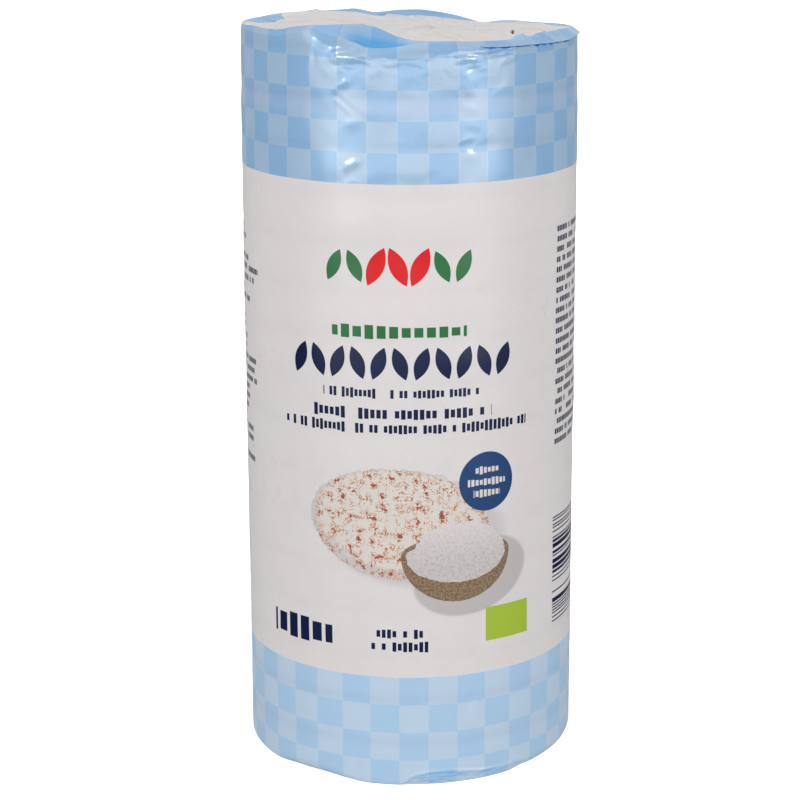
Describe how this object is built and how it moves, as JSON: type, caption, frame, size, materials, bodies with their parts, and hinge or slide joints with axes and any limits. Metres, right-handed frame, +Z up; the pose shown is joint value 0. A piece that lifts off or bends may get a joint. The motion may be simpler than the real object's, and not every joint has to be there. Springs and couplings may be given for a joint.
{
  "type": "film-wrapped roll pack of rice cakes",
  "caption": "Shut roll pack of round puffed rice cakes, stacked and wrapped in printed plastic film that is folded in pleats over both ends; it stands on its flat end.",
  "frame": {"origin": "middle of the flat base, where the pack stands", "axes": "+Z up along the roll, -Y towards the printed front, +X to the right of someone who faces the front"},
  "size_m": [0.0952, 0.0957, 0.213],
  "materials": {
    "printed_film": "thin printed plastic film, satin gloss, pale blue check with a white band"
  },
  "bodies": {
    "root": {"pack": "printed_film"}
  },
  "joints": []
}
